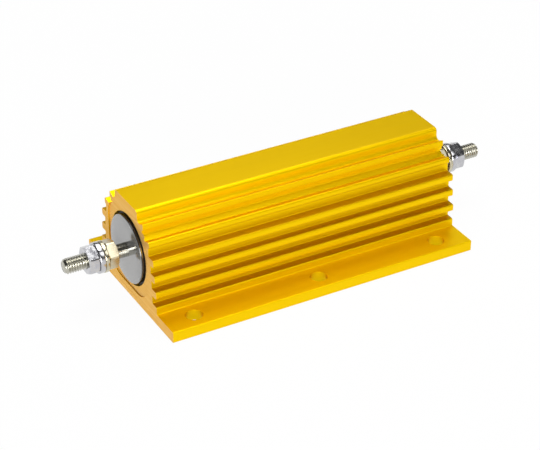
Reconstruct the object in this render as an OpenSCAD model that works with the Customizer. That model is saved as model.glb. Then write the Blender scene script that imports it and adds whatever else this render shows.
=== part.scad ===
// Aluminium housed power resistor: a wire-wound ceramic core moulded into a finned, extruded
// heat sink body, with a threaded terminal stud and its nuts and washers at each end.
// X runs along the body, Z is up, and the origin is the centre of the underside. Millimetres.

/* [Body] */
// Length of the extruded body
body_length = 127.7; // [110:0.1:180]
// Height of the body from the underside to the top face
body_height = 40.6; // [40:0.1:46]
// Width across the mounting flanges
base_width = 72.5; // [68:0.1:90]
// Thickness of the mounting flanges
flange_t = 4.4; // [3:0.1:5.5]
// Width of the flat top plate
top_plate_w = 18.6; // [14:0.1:20]
// Rounding along the top plate's long edges
plate_edge_r = 1.4; // [0.3:0.1:1.8]
// Rounding along the flanges' long edges
flange_edge_r = 0.4; // [0.2:0.1:1]

/* [Side fins] */
// Height of the lowest fin's top face above the underside
first_fin_z = 7.4; // [6.5:0.1:7.8]
// Spacing of the four side fins
fin_pitch = 6.3; // [5.6:0.1:6.4]
// Thickness of the fins
fin_t = 2.9; // [2.2:0.1:3.4]
// Distance of the side fins' tips from the middle, lowest fin first
fin_reach = [23.1, 23.1, 22.3, 21.7]; // [21:0.1:26]
// Distance of the groove floors from the middle, lowest groove first
groove_floor = [19.8, 19.5, 19.2, 17.8]; // [17:0.1:20.5]
// Rounding of the fin tips
fin_tip_r = 0.7; // [0.2:0.1:0.9]
// Rounding in the bottom corners of the grooves
groove_r = 0.4; // [0.2:0.1:0.7]

/* [Shoulder and crest fins] */
// Distance of the shoulder fin's tip from the middle
shoulder_reach = 18.7; // [18:0.1:20]
// Drop from the top face to the shoulder fin's upper edge
shoulder_drop = 8.1; // [7.8:0.1:8.6]
// Thickness of the shoulder fin
shoulder_t = 2.7; // [2.2:0.1:3]
// Distance of the shoulder fin's root from the middle
shoulder_root = 15.4; // [15.3:0.1:16.2]
// How much lower the shoulder fin's upper face is at its root than at its tip
shoulder_dip = 1.1; // [0.2:0.1:1.3]
// Distance of the crest fin's tip from the middle
crest_reach = 13.9; // [13.4:0.1:14.8]
// Drop from the top face to the crest fin's upper edge
crest_drop = 3; // [2.6:0.1:3.2]
// Height of the crest fin's outer face
crest_t = 2.6; // [2.2:0.1:2.8]
// Depth of the undercut below the crest fin
crest_undercut = 0.8; // [0.3:0.1:1.2]
// Height of the upright wall below the crest fin
crest_wall_h = 2.1; // [1.2:0.1:2.3]
// Slope of the crest fin's upper face, rising outwards, in degrees
crest_slope = 27; // [20:1:32]
// Rounding at the bottom of the groove beside the top plate
crest_groove_r = 1.6; // [0.8:0.1:1.8]

/* [Bore and end relief] */
// Height of the bore's axis above the underside
axis_z = 19.9; // [19:0.1:20.5]
// Diameter of the bore through the body
bore_d = 28.8; // [26:0.1:30]
// Width of the shallow relief around each end of the bore
relief_w = 32.4; // [31.5:0.1:33]
// Height of the relief
relief_h = 31.6; // [31:0.1:32]
// Corner radius of the relief
relief_r = 9; // [6:0.5:11]
// Depth of the relief
relief_depth = 0.5; // [0.3:0.1:1]

/* [Mounting holes] */
// Diameter of the mounting holes
hole_d = 6.6; // [5:0.1:7]
// Spacing of the holes along the body
hole_pitch = 52; // [40:0.5:54]
// Number of holes along each flange
holes_per_side = 3; // [2:1:3]
// Spacing of the two rows of holes across the body
hole_span = 59; // [58:0.1:60]

/* [Resistance element] */
// Distance of the ceramic core's ends from the body's end faces
core_inset = 17.8; // [14:0.1:25]
// Outside diameter of the ceramic core
core_d = 18; // [16:0.5:20]
// Diameter of the hole through the ceramic core
core_hole_d = 10; // [9.6:0.1:12]
// Diameter of the resistance wire
wire_d = 1.2; // [0.8:0.1:1.6]
// Spacing of the wire's turns
wire_pitch = 4; // [3:0.5:6]
// Wall thickness of the core's metal end caps
cap_t = 1.2; // [0.8:0.1:1.5]
// Length of the caps' skirts over the core
cap_skirt = 9; // [6:0.5:12]

/* [End seals] */
// Diameter of the end seal discs
seal_d = 26.6; // [24:0.1:27]
// Thickness of the end seal discs
seal_t = 2.5; // [1.8:0.1:4]
// How far the end seals stand out of the body's end faces
seal_proud = 0.7; // [0.2:0.1:1.5]
// Rounding of the end seals' outer edges
seal_edge_r = 0.4; // [0.1:0.1:0.6]

/* [Terminals] */
// Length of bare stud between the body's end face and the inner nut
neck_length = 5.4; // [4:0.1:10]
// Distance of the stud's tip from the body's end face
terminal_reach = 25.5; // [22:0.1:40]
// Outside diameter of the stud's thread
thread_d = 5.9; // [5.8:0.1:6]
// Diameter of the stud's shank, which is also the thread's pitch diameter in the nuts
shank_d = 5.4; // [5.2:0.1:5.5]
// Bevel at the tip of the stud
tip_bevel = 0.8; // [0.3:0.1:1.2]
// Diameter of the stud's head inside the core
stud_head_d = 9; // [8:0.1:9.4]
// Thickness of the stud's head
stud_head_t = 2; // [1:0.1:3]

/* [Nuts and washers] */
// Width of the nuts across flats
nut_af = 10; // [9:0.1:11]
// Thickness of the nuts
nut_t = 4.1; // [3:0.1:5]
// Diameter of the nuts' round faces, inside the bevel on their corners
nut_face_d = 9.6; // [8.8:0.1:10]
// Outside diameter of the flat washers
flat_washer_d = 12; // [11:0.1:13]
// Bore of the flat washers
flat_washer_bore = 6.4; // [6.2:0.1:6.8]
// Thickness of the flat washers
flat_washer_t = 1.5; // [0.8:0.1:2]
// Outside diameter of the spring washers
spring_washer_d = 11.8; // [10.5:0.1:12.5]
// Bore of the spring washers
spring_washer_bore = 6.2; // [6.1:0.1:6.6]
// Thickness of the spring washers
spring_washer_t = 2.1; // [1.2:0.1:2.5]
// Width of the slit in the spring washers
spring_slit = 0.6; // [0.3:0.1:1.2]
// Turn of the inner nuts about the stud, in degrees
inner_nut_turn = 15; // [0:1:59]
// Turn of the outer nuts about the stud, in degrees
outer_nut_turn = 3; // [0:1:59]

/* [Hidden] */

// Running gap between pieces that slide over each other in assembly
slip = 0.05;
// Straight pieces in each rounded corner of an outline
corner_steps = 5;
round_fn = 96;
// Sides of the wire's section, and straight pieces in each of its turns
wire_sides = 6;
turn_steps = 14;
// Slant of the slit in the spring washers, and the bevel angle of the nuts
slit_slant = 20;
bevel_angle = 30;
// Bevel at the edges of the washers
washer_bevel = 0.25;
eps = 1;

end_x = body_length / 2;
core_end = end_x - core_inset;
wire_path_r = (core_d / 2 + wire_d / 2 + slip) / cos(180 / turn_steps);
cap_bore_r = core_d / 2 + slip;
cap_r = cap_bore_r + cap_t;
seal_in_x = end_x + seal_proud - seal_t;
inner_nut_x = end_x + neck_length;
flat_washer_x = inner_nut_x + nut_t;
spring_washer_x = flat_washer_x + flat_washer_t;
outer_nut_x = spring_washer_x + spring_washer_t;
thread_x = outer_nut_x + nut_t;
tip_x = end_x + terminal_reach;
nut_bore_r = shank_d / 2 + slip;

// Points of an outline given as [x, y, corner radius], with each corner turned into an arc
function unit(v) = v / norm(v);
function arc_points(before, corner, after, r) =
    let (
        a = unit(before - corner),
        b = unit(after - corner),
        half = acos(a * b) / 2,
        centre = corner + unit(a + b) * r / sin(half),
        from = corner + a * r / tan(half) - centre,
        turn = (cross(a, b) > 0 ? -1 : 1) * (180 - 2 * half),
        start = atan2(from[1], from[0])
    )
    [for (i = [0:corner_steps])
        centre + r * [cos(start + turn * i / corner_steps), sin(start + turn * i / corner_steps)]];
function place(p) = [p[0], p[1]];
function rounded(p) =
    let (n = len(p))
    [for (i = [0:n - 1])
        each p[i][2] == 0
            ? [place(p[i])]
            : arc_points(place(p[(i + n - 1) % n]), place(p[i]), place(p[(i + 1) % n]), p[i][2])];

// One side of the body's section, from the underside up to the top plate
fin_top = [for (k = [0:3]) first_fin_z + k * fin_pitch];
shoulder_z = body_height - shoulder_drop;
crest_z = body_height - crest_drop;
crest_base_z = crest_z - crest_t;
crest_neck = crest_reach - crest_undercut;
crest_groove_z = crest_z - (crest_reach - top_plate_w / 2) * tan(crest_slope);
function fin_points(k) = [
    [groove_floor[k - 1], fin_top[k - 1], groove_r],
    [groove_floor[k - 1], fin_top[k] - fin_t, groove_r],
    [fin_reach[k], fin_top[k] - fin_t, fin_tip_r],
    [fin_reach[k], fin_top[k], fin_tip_r]
];
side_points = concat(
    [
        [base_width / 2, 0, flange_edge_r],
        [base_width / 2, flange_t, flange_edge_r],
        [fin_reach[0], flange_t, groove_r],
        [fin_reach[0], fin_top[0], fin_tip_r]
    ],
    [for (k = [1:3]) each fin_points(k)],
    [
        [groove_floor[3], fin_top[3], groove_r],
        [groove_floor[3], shoulder_z - shoulder_t, groove_r],
        [shoulder_reach, shoulder_z - shoulder_t, fin_tip_r],
        [shoulder_reach, shoulder_z, fin_tip_r],
        [shoulder_root, shoulder_z - shoulder_dip, groove_r],
        [crest_neck, crest_base_z - crest_wall_h, groove_r],
        [crest_neck, crest_base_z, groove_r],
        [crest_reach, crest_base_z, fin_tip_r / 2],
        [crest_reach, crest_z, fin_tip_r / 2],
        [top_plate_w / 2, crest_groove_z, crest_groove_r],
        [top_plate_w / 2, body_height, plate_edge_r]
    ]
);
section_points = concat(
    side_points,
    [for (i = [len(side_points) - 1:-1:0]) [-side_points[i][0], side_points[i][1], side_points[i][2]]]
);
relief_points = [
    [-relief_w / 2, -relief_h / 2, relief_r], [relief_w / 2, -relief_h / 2, relief_r],
    [relief_w / 2, relief_h / 2, relief_r], [-relief_w / 2, relief_h / 2, relief_r]
];

// Stands an outline drawn in Y and Z upright and extrudes it along X, centred
module extruded_along_x(length) {
    rotate([90, 0, 90]) linear_extrude(length, center = true) children();
}

// Turns a profile of [radius, x] points about the X axis
module turned(points) {
    rotate([0, 90, 0]) rotate_extrude($fn = round_fn) polygon(points);
}

module rod(r, from, to) {
    translate([from, 0, 0]) rotate([0, 90, 0]) cylinder(h = to - from, r = r, $fn = round_fn);
}

module at_axis() {
    translate([0, 0, axis_z]) children();
}

// side is 1 for the right end and -1 for the left end
module at_end(side) {
    at_axis() mirror([side < 0 ? 1 : 0, 0, 0]) children();
}

module mounting_hole(x, y) {
    translate([x, y, -eps]) cylinder(h = flange_t + 2 * eps, d = hole_d, $fn = round_fn);
}

module housing() {
    color("gold") difference() {
        extruded_along_x(body_length) polygon(rounded(section_points));
        at_axis() rod(bore_d / 2, -end_x - eps, end_x + eps);
        for (side = [-1, 1])
            translate([side * end_x, 0, axis_z])
                extruded_along_x(2 * relief_depth) polygon(rounded(relief_points));
        for (i = [0:holes_per_side - 1], side = [-1, 1])
            mounting_hole((i - (holes_per_side - 1) / 2) * hole_pitch, side * hole_span / 2);
    }
}

module ceramic_core() {
    color("ivory") at_axis() difference() {
        rod(core_d / 2, -core_end, core_end);
        rod(core_hole_d / 2, -core_end - eps, core_end + eps);
    }
}

// Rings of the wire's section, one after another along the coil, joined into one skin
module resistance_winding() {
    coil_from = -core_end + cap_skirt + wire_d / 2 + slip;
    rings = floor((-2 * coil_from) / wire_pitch * turn_steps);
    points = [for (i = [0:rings], j = [0:wire_sides - 1])
        let (
            turn = 360 * i / turn_steps,
            around = 360 * j / wire_sides,
            r = wire_path_r + wire_d / 2 * cos(around)
        )
        [
            coil_from + wire_pitch * i / turn_steps + wire_d / 2 * sin(around),
            r * cos(turn),
            r * sin(turn)
        ]];
    skin = [for (i = [0:rings - 1], j = [0:wire_sides - 1])
        let (next = (j + 1) % wire_sides, a = i * wire_sides, b = a + wire_sides)
        each [[a + j, b + j, b + next], [a + j, b + next, a + next]]];
    ends = [
        [for (j = [0:wire_sides - 1]) j],
        [for (j = [wire_sides - 1:-1:0]) rings * wire_sides + j]
    ];
    color("silver") at_axis() polyhedron(points, concat(skin, ends));
}

module core_cap(side) {
    color("lightsteelblue") at_end(side) turned([
        [cap_bore_r, core_end - cap_skirt], [cap_r, core_end - cap_skirt],
        [cap_r, core_end + cap_t], [nut_bore_r, core_end + cap_t],
        [nut_bore_r, core_end], [cap_bore_r, core_end]
    ]);
}

module terminal_stud(side) {
    color("gainsboro") at_end(side) turned([
        [0, core_end - stud_head_t], [stud_head_d / 2, core_end - stud_head_t],
        [stud_head_d / 2, core_end], [shank_d / 2, core_end],
        [shank_d / 2, thread_x], [thread_d / 2, thread_x],
        [thread_d / 2, tip_x - tip_bevel], [thread_d / 2 - tip_bevel, tip_x], [0, tip_x]
    ]);
}

// Fills the bore around the wound core and closes over both caps
module moulding_compound() {
    outer = bore_d / 2 - slip;
    cavity = max(wire_path_r + wire_d / 2, cap_r) + slip;
    cap_end = core_end + cap_t;
    color("dimgray") at_axis() turned([
        [outer, -seal_in_x], [outer, seal_in_x],
        [nut_bore_r, seal_in_x], [nut_bore_r, cap_end], [cavity, cap_end],
        [cavity, -cap_end], [nut_bore_r, -cap_end], [nut_bore_r, -seal_in_x]
    ]);
}

module end_seal(side) {
    color("gray") at_end(side) turned(rounded([
        [nut_bore_r, seal_in_x, 0], [seal_d / 2, seal_in_x, 0],
        [seal_d / 2, end_x + seal_proud, seal_edge_r], [nut_bore_r, end_x + seal_proud, 0]
    ]));
}

// Hexagon nut with both ends bevelled, its inner face at x
module hex_nut(x, turn) {
    face_r = nut_face_d / 2;
    corner_r = nut_af / sqrt(3);
    clear_r = corner_r + slip;
    rise = (clear_r - face_r) * tan(bevel_angle);
    intersection() {
        translate([x, 0, 0]) rotate([turn, 0, 0]) rotate([0, 90, 0])
            cylinder(h = nut_t, r = corner_r, $fn = 6);
        turned([
            [nut_bore_r, x], [face_r, x], [clear_r, x + rise],
            [clear_r, x + nut_t - rise], [face_r, x + nut_t], [nut_bore_r, x + nut_t]
        ]);
    }
}

// Ring with bevelled edges from x, lowered on the stud by the room in its bore
module washer(x, d, bore, t) {
    b = washer_bevel;
    translate([0, 0, -(bore - thread_d) / 2]) turned([
        [bore / 2, x], [d / 2 - b, x], [d / 2, x + b],
        [d / 2, x + t - b], [d / 2 - b, x + t], [bore / 2, x + t]
    ]);
}

module inner_nut(side) {
    color("wheat") at_end(side) hex_nut(inner_nut_x, inner_nut_turn);
}

module flat_washer(side) {
    color("silver") at_end(side)
        washer(flat_washer_x, flat_washer_d, flat_washer_bore, flat_washer_t);
}

// The slit faces the back of the body and slants as the spring's turn does
module spring_washer(side) {
    reach = spring_washer_d;
    color("lightgray") at_end(side) difference() {
        washer(spring_washer_x, spring_washer_d, spring_washer_bore, spring_washer_t);
        translate([spring_washer_x + spring_washer_t / 2, reach / 2, 0]) rotate([0, slit_slant, 0])
            cube([3 * spring_washer_t, reach, spring_slit], center = true);
    }
}

module outer_nut(side) {
    color("lightgray") at_end(side) hex_nut(outer_nut_x, outer_nut_turn);
}

housing();
ceramic_core();
resistance_winding();
core_cap(-1);  // core_cap_left
core_cap(1);  // core_cap_right
terminal_stud(-1);  // terminal_stud_left
terminal_stud(1);  // terminal_stud_right
moulding_compound();
end_seal(-1);  // end_seal_left
end_seal(1);  // end_seal_right
inner_nut(-1);  // inner_nut_left
inner_nut(1);  // inner_nut_right
flat_washer(-1);  // flat_washer_left
flat_washer(1);  // flat_washer_right
spring_washer(-1);  // spring_washer_left
spring_washer(1);  // spring_washer_right
outer_nut(-1);  // outer_nut_left
outer_nut(1);  // outer_nut_right
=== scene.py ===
"""Dresses the aluminium housed power resistor: finishes, threads and rounded hardware."""

import math

import bmesh
import bpy
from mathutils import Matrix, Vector


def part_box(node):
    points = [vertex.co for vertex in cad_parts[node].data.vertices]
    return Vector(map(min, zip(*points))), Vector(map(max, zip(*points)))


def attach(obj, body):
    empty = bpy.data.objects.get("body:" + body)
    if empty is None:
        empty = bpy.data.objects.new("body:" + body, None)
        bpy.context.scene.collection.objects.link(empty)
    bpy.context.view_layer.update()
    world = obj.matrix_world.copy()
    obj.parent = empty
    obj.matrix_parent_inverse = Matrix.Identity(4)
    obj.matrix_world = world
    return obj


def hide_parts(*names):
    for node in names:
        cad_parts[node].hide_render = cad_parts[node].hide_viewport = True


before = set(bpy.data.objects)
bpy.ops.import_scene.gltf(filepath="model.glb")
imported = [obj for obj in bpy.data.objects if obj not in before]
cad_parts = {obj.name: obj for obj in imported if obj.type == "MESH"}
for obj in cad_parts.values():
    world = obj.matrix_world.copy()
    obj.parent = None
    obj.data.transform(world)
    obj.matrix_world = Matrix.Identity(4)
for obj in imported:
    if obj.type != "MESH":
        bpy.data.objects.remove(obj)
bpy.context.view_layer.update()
MM = 0.001
TURN = 2 * math.pi
ENDS = {"left": -1, "right": 1}
EVEN = (1, 1, 1)


# ---- Camera -------------------------------------------------------------------------------

CAMERA_PLACE = Vector((-0.29598, -0.52524, 0.38094))
CAMERA_FORWARD = Vector((0.41376, 0.74520, -0.52296))
CAMERA_LENS = 123.42

camera = bpy.data.objects.new("camera", bpy.data.cameras.new("camera"))
bpy.context.scene.collection.objects.link(camera)
bpy.context.scene.camera = camera
camera.data.lens = CAMERA_LENS
camera.data.clip_start = 0.01
camera.location = CAMERA_PLACE
camera.rotation_mode = "QUATERNION"
camera.rotation_quaternion = CAMERA_FORWARD.to_track_quat("-Z", "Y")


# ---- Nodes and colours --------------------------------------------------------------------


def linear(hex_colour):
    """An sRGB hex colour as the linear colour that a node's socket takes."""
    values = [int(hex_colour[i : i + 2], 16) / 255 for i in (1, 3, 5)]
    return [v / 12.92 if v <= 0.04045 else ((v + 0.055) / 1.055) ** 2.4 for v in values] + [1]


def add(tree, kind, inputs=(), **settings):
    """Adds one node. Its inputs are given by name or number, as values or as sockets to link."""
    made = tree.nodes.new("ShaderNode" + kind)
    for name, value in settings.items():
        setattr(made, name, value)
    for name, value in dict(inputs).items():
        if isinstance(value, bpy.types.NodeSocket):
            tree.links.new(value, made.inputs[name])
        else:
            made.inputs[name].default_value = value
    return made


def material(name, metallic, roughness):
    """A new material, and its tree and shader."""
    made = bpy.data.materials.new(name)
    made.use_nodes = True
    shader = made.node_tree.nodes["Principled BSDF"]
    shader.inputs["Metallic"].default_value = metallic
    shader.inputs["Roughness"].default_value = roughness
    return made, made.node_tree, shader


def place(tree):
    """The point on the surface in millimetres, as the object was modelled."""
    metres = add(tree, "TexCoord").outputs["Object"]
    return add(tree, "VectorMath", {0: metres, "Scale": 1000}, operation="SCALE").outputs[0]


def noise(tree, at, size_mm, stretch=EVEN, detail=2):
    """Noise from 0 to 1 whose blotches are size_mm across, drawn out where stretch is over 1."""
    drawn = add(tree, "Mapping", {"Vector": at, "Scale": [1 / s for s in stretch]})
    found = add(
        tree,
        "TexNoise",
        {"Vector": drawn.outputs[0], "Scale": 1 / size_mm, "Detail": detail, "Roughness": 0.55},
    )
    return found.outputs["Fac"]


def spread(tree, value, low, high, from_low=0.3, from_high=0.7):
    """The value, spread from low to high as it goes from from_low to from_high."""
    inputs = {
        "Value": value,
        "From Min": from_low,
        "From Max": from_high,
        "To Min": low,
        "To Max": high,
    }
    return add(tree, "MapRange", inputs).outputs[0]


def both(tree, first, second):
    """The product of two shares, which is 1 only where both are."""
    return add(tree, "Math", {0: first, 1: second}, operation="MULTIPLY").outputs[0]


def blend(tree, share, first, second):
    """The first colour where share is 0, the second where it is 1."""
    return add(tree, "Mix", {0: share, 6: first, 7: second}, data_type="RGBA").outputs[2]


def size_of(tree, value):
    """The value without its sign."""
    return add(tree, "Math", {0: value}, operation="ABSOLUTE").outputs[0]


def facing(tree):
    """The way the surface faces, as x, y and z sockets, as the object was modelled."""
    return add(tree, "SeparateXYZ", {0: add(tree, "TexCoord").outputs["Normal"]}).outputs


def end_facing(tree, low, high):
    """1 where the surface faces along the resistor, rising as its x goes from low to high."""
    return spread(tree, size_of(tree, facing(tree)[0]), 0, 1, low, high)


def clouded(tree, shader, share, low, high):
    """A base colour that drifts between two hex colours with share."""
    colour = blend(tree, spread(tree, share, 0, 1), linear(low), linear(high))
    tree.links.new(colour, shader.inputs["Base Color"])


def relief(tree, shader, height, depth_mm):
    """Raises the surface by height times depth_mm in the shader's normal."""
    bump = add(tree, "Bump", {"Height": height, "Strength": 1.0, "Distance": depth_mm * MM})
    tree.links.new(bump.outputs[0], shader.inputs["Normal"])


# ---- Materials ----------------------------------------------------------------------------

DIE_LINE_MM = 0.25
SAW_LINE_MM = 0.6
END_X_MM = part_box("housing")[1].x / MM
# A little over the depth of the relief in the sawn ends
END_RELIEF_MM = 0.6
# Heights between which the fins' upper faces lie, over the flanges and under the shoulder fins;
# painted shade darkens the upward faces between them
SHADED_FIN_TOPS_FROM_MM = 6.5
SHADED_FIN_TOPS_TO_MM = 31.0


def anodised_aluminium():
    """Extruded aluminium, etched and dyed gold in its oxide. The eye sees a satin gold with fine
    lines along the extrusion, darker on the fins' upper faces with painted shade for the grooves,
    and paler, duller gold where the saw cut the ends."""
    made, tree, shader = material("gold_anodised_extruded_aluminium", 0.8, 0.5)
    shader.inputs["Specular Tint"].default_value = linear("#ffdc70")
    at = place(tree)
    spot = add(tree, "SeparateXYZ", {0: at}).outputs
    inner, outer = END_X_MM - 2 * END_RELIEF_MM, END_X_MM - END_RELIEF_MM
    near_end = spread(tree, size_of(tree, spot[0]), 0, 1, inner, outer)
    is_end = both(tree, near_end, end_facing(tree, 0.7, 0.9))
    shaded_height_band = both(
        tree,
        spread(tree, spot[2], 0, 1, SHADED_FIN_TOPS_FROM_MM, SHADED_FIN_TOPS_FROM_MM + 1),
        spread(tree, spot[2], 1, 0, SHADED_FIN_TOPS_TO_MM - 2, SHADED_FIN_TOPS_TO_MM),
    )
    painted_shade_on_fin_tops = both(tree, shaded_height_band, spread(tree, facing(tree)[2], 0, 1, 0.5, 0.9))
    die_lines = noise(tree, at, DIE_LINE_MM, (240, 1, 1), 3)
    clouds = noise(tree, at, 9, (6, 1, 1), 3)
    saw_lines = noise(tree, at, SAW_LINE_MM, (1, 30, 1), 3)
    dyed = blend(tree, spread(tree, clouds, 0, 1), linear("#e9c000"), linear("#ecc400"))
    sawn = blend(tree, spread(tree, saw_lines, 0, 1), linear("#e0b060"), linear("#ecc480"))
    # Painted shade: the fins' upward faces between those heights are darkened to a brown gold,
    # standing in for the shade in the grooves
    dyed = blend(tree, painted_shade_on_fin_tops, dyed, linear("#bc9000"))
    tree.links.new(blend(tree, is_end, dyed, sawn), shader.inputs["Base Color"])
    satin = spread(tree, die_lines, 0.33, 0.43)
    rough = add(tree, "Mix", {0: is_end, 2: satin, 3: 0.5}).outputs[0]
    tree.links.new(rough, shader.inputs["Roughness"])
    lines = add(tree, "Mix", {0: is_end, 2: die_lines, 3: saw_lines}).outputs[0]
    relief(tree, shader, lines, 0.004)
    return made


def nickel_plate(name, low, high):
    """Nickel over machined steel or brass: a warm, slightly clouded mirror."""
    made, tree, shader = material(name, 1.0, 0.2)
    at = place(tree)
    clouds = noise(tree, at, 1.6, detail=4)
    clouded(tree, shader, clouds, low, high)
    tree.links.new(spread(tree, clouds, 0.14, 0.3), shader.inputs["Roughness"])
    relief(tree, shader, noise(tree, at, 0.35), 0.003)
    return made


def zinc_plate():
    """Bright zinc on steel: a cool, slightly blue mirror with soft clouds of wear."""
    made, tree, shader = material("bright_zinc_plated_steel", 1.0, 0.2)
    at = place(tree)
    clouds = noise(tree, at, 2.0, detail=4)
    clouded(tree, shader, clouds, "#b6b6bc", "#cecece")
    tree.links.new(spread(tree, clouds, 0.12, 0.3), shader.inputs["Roughness"])
    relief(tree, shader, noise(tree, at, 0.4), 0.003)
    return made


def lacquered_board():
    """Dark board punched to a disc and lacquered: a grey, glossy face, and its edge painted near
    black as painted shade for the gap round the disc.
    """
    made, tree, shader = material("lacquered_phenolic_board", 0.0, 0.16)
    at = place(tree)
    specks = noise(tree, at, 0.45, detail=4)
    face = blend(tree, spread(tree, specks, 0, 1), linear("#565656"), linear("#666664"))
    # Painted shade: where the disc faces round its edge it is painted near black, standing in for
    # the shade in the gap in the bore
    board = blend(tree, end_facing(tree, 0.5, 0.8), linear("#141416"), face)
    tree.links.new(board, shader.inputs["Base Color"])
    tree.links.new(spread(tree, specks, 0.12, 0.22), shader.inputs["Roughness"])
    shader.inputs["IOR"].default_value = 1.6
    shader.inputs["Coat Weight"].default_value = 1.0
    shader.inputs["Coat Roughness"].default_value = 0.12
    relief(tree, shader, specks, 0.004)
    return made


def cast_compound():
    """Silicone moulding compound, cast in the bore and cured: black and nearly matt."""
    made, tree, shader = material("cast_silicone_compound", 0.0, 0.5)
    grain = noise(tree, place(tree), 0.5, detail=4)
    clouded(tree, shader, grain, "#101013", "#222226")
    tree.links.new(spread(tree, grain, 0.4, 0.65), shader.inputs["Roughness"])
    relief(tree, shader, grain, 0.03)
    return made


def fired_ceramic():
    """Unglazed fired ceramic: off-white and chalky, with a fine grain."""
    made, tree, shader = material("fired_steatite_ceramic", 0.0, 0.7)
    grain = noise(tree, place(tree), 0.4, detail=4)
    clouded(tree, shader, grain, "#dcd6c8", "#ece8dc")
    tree.links.new(spread(tree, grain, 0.6, 0.8), shader.inputs["Roughness"])
    relief(tree, shader, grain, 0.01)
    return made


def drawn_alloy(name, low, high):
    """Drawn resistance wire or pressed steel: grey metal with fine drawing marks."""
    made, tree, shader = material(name, 1.0, 0.35)
    marks = noise(tree, place(tree), 0.2, (8, 1, 1), 3)
    clouded(tree, shader, marks, low, high)
    tree.links.new(spread(tree, marks, 0.28, 0.42), shader.inputs["Roughness"])
    relief(tree, shader, marks, 0.003)
    return made


# ---- Meshes -------------------------------------------------------------------------------


def piece(name, node, surface, points, faces, sharp_degrees=35):
    """A mesh that stands for a CAD node, which it hides, and takes the given surface as its
    material.
    """
    mesh = bpy.data.meshes.new(name)
    mesh.from_pydata(points, [], faces)
    mesh.update()
    mesh.materials.append(surface)
    cleaned = bmesh.new()
    cleaned.from_mesh(mesh)
    bmesh.ops.recalc_face_normals(cleaned, faces=cleaned.faces)
    cleaned.to_mesh(mesh)
    cleaned.free()
    for polygon in mesh.polygons:
        polygon.use_smooth = True
    mesh.set_sharp_from_angle(angle=math.radians(sharp_degrees))
    made = bpy.data.objects.new(name, mesh)
    bpy.context.scene.collection.objects.link(made)
    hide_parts(node)
    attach(made, "root")
    return made


AXIS_HEIGHT = sum(corner.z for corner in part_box("terminal_stud_left")) / 2


def turned(rows, sides, radius_at):
    """Points and faces of a closed skin round the terminals' axis. Each row is turned about the
    axis, radius_at gives its radius at each angle and x, and the last row joins the first."""
    points, faces = [], []
    for row in rows:
        for j in range(sides):
            angle = TURN * j / sides
            x, radius = radius_at(row, angle)
            points.append((x, radius * math.cos(angle), AXIS_HEIGHT + radius * math.sin(angle)))
    for i in range(len(rows)):
        after = (i + 1) % len(rows)
        for j in range(sides):
            k = (j + 1) % sides
            faces.append((i * sides + j, i * sides + k, after * sides + k, after * sides + j))
    return points, faces


def arc(centre_x, centre_r, radius, start, end, steps=4):
    """Profile points (x, r) along an arc, with its angles in degrees."""
    angles = [math.radians(start + (end - start) * i / steps) for i in range(steps + 1)]
    return [(centre_x + radius * math.cos(a), centre_r + radius * math.sin(a)) for a in angles]


def reach(node, x_sign):
    """The node's faces nearest to and furthest from the middle of the resistor, as distances."""
    low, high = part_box(node)
    near, far = sorted((low.x * x_sign, high.x * x_sign))
    return near, far


def corner_turn(node):
    """The angle about the axis of the node's outermost point."""
    best = max(
        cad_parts[node].data.vertices,
        key=lambda v: round(math.hypot(v.co.y, v.co.z - AXIS_HEIGHT), 6),
    )
    return math.atan2(best.co.z - AXIS_HEIGHT, best.co.y)


# Closes a solid piece's ends at the axis
AXIS_RADIUS = 0.0001
# Room between the stud and what sits on it
STUD_SLIP = 0.05 * MM

# Metric coarse thread, 6 mm
THREAD_PITCH = 1.0 * MM
THREAD_CREST = 2.95 * MM
THREAD_ROOT = 2.40 * MM
THREAD_STEPS = 12
SHANK_RADIUS = 2.7 * MM
# Shares of half a pitch that the flat root and the flank take; the crest takes the rest
ROOT_SHARE = 0.12
FLANK_SHARE = 0.7
TIP_BEVEL = 0.8 * MM
STUD_SIDES = 64
# How far the stud's head stays inside the core's cap
HEAD_INSET = 1.2 * MM
# Length of plain shank inside the inner nut
THREAD_INSET = 0.5 * MM

NUT_HALF_FLATS = 5.0 * MM
NUT_FACE_RADIUS = 4.75 * MM
NUT_CORNER_CUT = 0.16 * MM
NUT_CONE_SLOPE = math.tan(math.radians(30))
NUT_SINK = 0.4 * MM
NUT_SIDES = 180
NUT_LEVELS = 8

FLAT_WASHER_BORE_RADIUS = 3.2 * MM
FLAT_WASHER_EDGE = 0.25 * MM
SPRING_WASHER_BORE_RADIUS = 3.1 * MM
SPRING_WASHER_EDGE = 0.3 * MM
SPRING_SLIT = 0.6 * MM
SPRING_SLANT = math.tan(math.radians(20))
WASHER_SIDES = 96

SEAL_EDGE = 0.4 * MM
SEAL_FACE_SHARE = 0.6
SEAL_SIDES = 128


def thread_radius(x, angle):
    """The thread's radius at x: flat crests and roots, and straight flanks between them."""
    phase = (x / THREAD_PITCH - angle / TURN) % 1
    rise = min(1, max(0, (abs(phase - 0.5) * 2 - ROOT_SHARE) / FLANK_SHARE))
    return THREAD_ROOT + (THREAD_CREST - THREAD_ROOT) * rise


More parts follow.
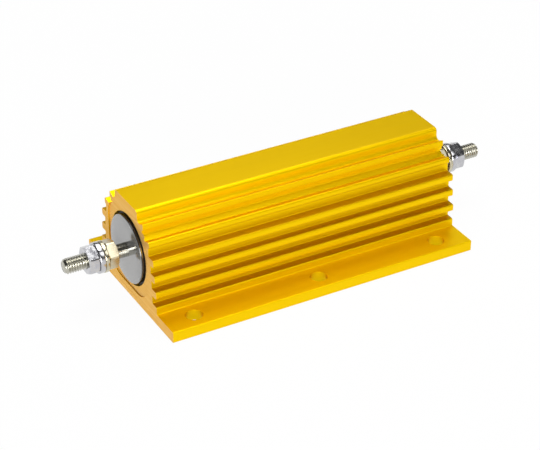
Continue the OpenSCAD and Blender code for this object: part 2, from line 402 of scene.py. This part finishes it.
def stud(side, surface):
    """The terminal stud: its head, shank and thread, cut to a bevel at the tip."""
    sign = ENDS[side]
    node = "terminal_stud_" + side
    start, tip = reach(node, sign)
    head_radius = (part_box(node)[1].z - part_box(node)[0].z) / 2
    head_end = reach("core_cap_" + side, sign)[1] - HEAD_INSET
    thread_start = reach("inner_nut_" + side, sign)[0] + THREAD_INSET
    rows = [(start, AXIS_RADIUS), (start, head_radius), (head_end, head_radius)]
    rows += [(head_end, SHANK_RADIUS), (thread_start, SHANK_RADIUS)]
    count = round((tip - thread_start) / THREAD_PITCH * THREAD_STEPS)
    rows += [(thread_start + (tip - thread_start) * i / count, None) for i in range(1, count + 1)]
    rows += [(tip, AXIS_RADIUS)]

    def radius_at(row, angle):
        x, radius = row
        if radius is None:
            bevel = THREAD_CREST - TIP_BEVEL + (tip - x)
            radius = min(thread_radius(x * sign, angle), bevel)
        return x * sign, radius

    points, faces = turned(rows, STUD_SIDES, radius_at)
    return piece("stud_" + side, node, surface, points, faces[:-STUD_SIDES], 50)


def nut(node, side, surface):
    """A hexagon nut with rounded corners and a cone cut at each face."""
    sign = ENDS[side]
    near, far = reach(node, sign)
    corner_angle = corner_turn(node)

    def hexagon(angle):
        turn = (angle - corner_angle + TURN / 12) % (TURN / 6) - TURN / 12
        sharp = NUT_HALF_FLATS / math.cos(TURN / 12 - abs(turn))
        return min(sharp, NUT_HALF_FLATS / math.cos(TURN / 12) - NUT_CORNER_CUT)

    bore = SHANK_RADIUS + STUD_SLIP
    rows = [("bore", near + NUT_SINK), ("sink", near)]
    rows += [("near_cone", i / NUT_LEVELS) for i in range(NUT_LEVELS + 1)]
    rows += [("far_cone", 1 - i / NUT_LEVELS) for i in range(NUT_LEVELS + 1)]
    rows += [("sink", far), ("bore", far - NUT_SINK)]

    def radius_at(row, angle):
        kind, value = row
        if kind == "bore":
            return value * sign, bore
        if kind == "sink":
            return value * sign, bore + NUT_SINK
        radius = NUT_FACE_RADIUS + (hexagon(angle) - NUT_FACE_RADIUS) * value
        depth = NUT_CONE_SLOPE * (radius - NUT_FACE_RADIUS)
        return (near + depth if kind == "near_cone" else far - depth) * sign, radius

    points, faces = turned(rows, NUT_SIDES, radius_at)
    name = node.replace("_" + side, "") + "_dressed_" + side
    return piece(name, node, surface, points, faces, 24)


def washer_profile(near, far, inner, outer, edge):
    """A washer's section, its four corners rounded by edge."""
    return (
        arc(near + edge, outer - edge, edge, 180, 90)
        + arc(far - edge, outer - edge, edge, 90, 0)
        + arc(far - edge, inner + edge, edge, 0, -90)
        + arc(near + edge, inner + edge, edge, -90, -180)
    )


def outer_radius(node):
    """Half of the node's width."""
    low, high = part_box(node)
    return (high.y - low.y) / 2


def hang(node):
    """How far the node's middle hangs below the axis."""
    low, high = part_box(node)
    return AXIS_HEIGHT - (low.z + high.z) / 2


def flat_washer(side, surface):
    """The stamped flat washer, with rounded edges."""
    node = "flat_washer_" + side
    near, far = reach(node, ENDS[side])
    outer = outer_radius(node)
    rows = washer_profile(near, far, FLAT_WASHER_BORE_RADIUS, outer, FLAT_WASHER_EDGE)
    points, faces = turned(rows, WASHER_SIDES, lambda row, angle: (row[0] * ENDS[side], row[1]))
    drop = hang(node)
    points = [(x, y, z - drop) for x, y, z in points]
    return piece("flat_washer_dressed_" + side, node, surface, points, faces)


def spring_washer(side, surface):
    """The spring washer: one turn of square wire, open at a slanted slit."""
    sign = ENDS[side]
    node = "spring_washer_" + side
    near, far = reach(node, sign)
    outer = outer_radius(node)
    rows = washer_profile(near, far, SPRING_WASHER_BORE_RADIUS, outer, SPRING_WASHER_EDGE)
    middle = (near + far) / 2
    height = AXIS_HEIGHT - hang(node)
    points, faces = [], []
    for i in range(WASHER_SIDES + 1):
        for x, radius in rows:
            shift = (x - middle) * SPRING_SLANT
            start = (SPRING_SLIT / 2 - shift) / radius
            end = TURN - (SPRING_SLIT / 2 + shift) / radius
            angle = start + (end - start) * i / WASHER_SIDES
            y, z = radius * math.cos(angle), radius * math.sin(angle)
            points.append((x * sign, y, height + z))
    count = len(rows)
    for i in range(WASHER_SIDES):
        for j in range(count):
            k = (j + 1) % count
            faces.append((i * count + j, i * count + k, (i + 1) * count + k, (i + 1) * count + j))
    faces.append(tuple(range(count)))
    faces.append(tuple(WASHER_SIDES * count + j for j in range(count)))
    return piece("spring_washer_dressed_" + side, node, surface, points, faces)


def end_seal(side, surface):
    """The seal disc, its outer edge rounded over and its hole round the stud."""
    sign = ENDS[side]
    node = "end_seal_" + side
    near, far = reach(node, sign)
    outer = outer_radius(node)
    rows = [(near, SHANK_RADIUS + STUD_SLIP), (near, outer)]
    rows += arc(far - SEAL_EDGE, outer - SEAL_EDGE, SEAL_EDGE, 90, 0, 6)
    rows += [(far, outer * SEAL_FACE_SHARE), (far, SHANK_RADIUS + STUD_SLIP)]
    points, faces = turned(rows, SEAL_SIDES, lambda row, angle: (row[0] * sign, row[1]))
    return piece("seal_disc_" + side, node, surface, points, faces)


# ---- The resistor -------------------------------------------------------------------------

gold = anodised_aluminium()
stud_nickel = nickel_plate("nickel_plated_steel", "#a8a69a", "#c2c0b4")
brass_nickel = nickel_plate("nickel_plated_brass", "#b8b096", "#cec8b0")
zinc = zinc_plate()
board = lacquered_board()
compound = cast_compound()
ceramic = fired_ceramic()
wire = drawn_alloy("drawn_resistance_alloy", "#8a8884", "#a4a09a")
cap_steel = drawn_alloy("pressed_steel", "#a2a2a0", "#bcbcba")

CAD_SURFACES = {
    "housing": gold,
    "moulding_compound": compound,
    "ceramic_core": ceramic,
    "resistance_winding": wire,
    "core_cap_left": cap_steel,
    "core_cap_right": cap_steel,
}
for node_name, surface in CAD_SURFACES.items():
    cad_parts[node_name].data.materials.clear()
    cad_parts[node_name].data.materials.append(surface)

for side in ENDS:
    stud(side, stud_nickel)
    end_seal(side, board)
    nut("inner_nut_" + side, side, brass_nickel)
    flat_washer(side, brass_nickel)
    spring_washer(side, zinc)
    nut("outer_nut_" + side, side, zinc)


# ---- Floor, surroundings and lamps --------------------------------------------------------

# How much of the white that the table shows is its own
TABLE_OWN_WHITE = 0.96
FLOOR_HALF = 4.0
LAMP_TARGET = Vector((0, 0, 0.02))

# Heights on a unit sphere round the object: white up to the first, dim from the second
WALL_WHITE_TO = 0.1
WALL_DIM_FROM = 0.3
WALL_DIM = "#3c3c3c"


def plain_floor():
    """A white studio table. It shows white to the eye and to mirrors, and keeps the shadow."""
    made = bpy.data.materials.new("white_painted_table")
    made.use_nodes = True
    tree = made.node_tree
    tree.nodes.clear()
    painted = add(tree, "BsdfDiffuse", {"Color": linear("#f2f2f2")})
    white = add(tree, "Emission", {"Color": linear("#ffffff"), "Strength": 1.0})
    path = add(tree, "LightPath").outputs
    seen = path["Is Camera Ray"]
    for ray in ("Is Glossy Ray", "Is Transmission Ray"):
        seen = add(tree, "Math", {0: seen, 1: path[ray]}, operation="MAXIMUM").outputs[0]
    share = both(tree, seen, TABLE_OWN_WHITE)
    mixed = add(tree, "MixShader", {0: share, 1: painted.outputs[0], 2: white.outputs[0]})
    out = add(tree, "OutputMaterial")
    tree.links.new(mixed.outputs[0], out.inputs["Surface"])
    return made


def surroundings():
    """A studio that is white as high as the table's far edge and dim above it, which gives metal
    its dark reflections."""
    world = bpy.data.worlds.new("white_studio")
    world.use_nodes = True
    bpy.context.scene.world = world
    tree = world.node_tree
    tree.nodes.clear()
    height = add(tree, "SeparateXYZ", {0: add(tree, "TexCoord").outputs["Generated"]}).outputs[2]
    dim = spread(tree, height, 0, 1, WALL_WHITE_TO, WALL_DIM_FROM)
    colour = blend(tree, dim, linear("#ffffff"), linear(WALL_DIM))
    walls = add(tree, "Background", {"Color": colour})
    out = add(tree, "OutputWorld")
    tree.links.new(walls.outputs[0], out.inputs["Surface"])


def lamp(name, place_m, watts, size):
    """A soft square lamp that faces the middle of the resistor."""
    data = bpy.data.lights.new(name, "AREA")
    data.energy, data.size = watts, size
    made = bpy.data.objects.new(name, data)
    bpy.context.scene.collection.objects.link(made)
    made.location = place_m
    facing_way = LAMP_TARGET - Vector(place_m)
    made.rotation_euler = facing_way.to_track_quat("-Z", "Y").to_euler()


floor_mesh = bpy.data.meshes.new("floor")
floor_corners = [
    (FLOOR_HALF * x, FLOOR_HALF * y, 0) for x, y in ((-1, -1), (1, -1), (1, 1), (-1, 1))
]
floor_mesh.from_pydata(floor_corners, [], [(0, 1, 2, 3)])
floor_mesh.materials.append(plain_floor())
floor = bpy.data.objects.new("floor", floor_mesh)
bpy.context.scene.collection.objects.link(floor)

surroundings()
lamp("overhead_lamp", (0.11, 0.2, 1.3), 11.0, 0.8)
lamp("front_lamp", (-0.63, -1.12, 0.2), 22.0, 0.6)
lamp("right_lamp", (0.44, -0.75, 0.99), 2.7, 0.6)
lamp("back_lamp", (0.43, 0.76, 0.99), 2.3, 0.6)

bpy.context.scene.view_settings.view_transform = "Standard"
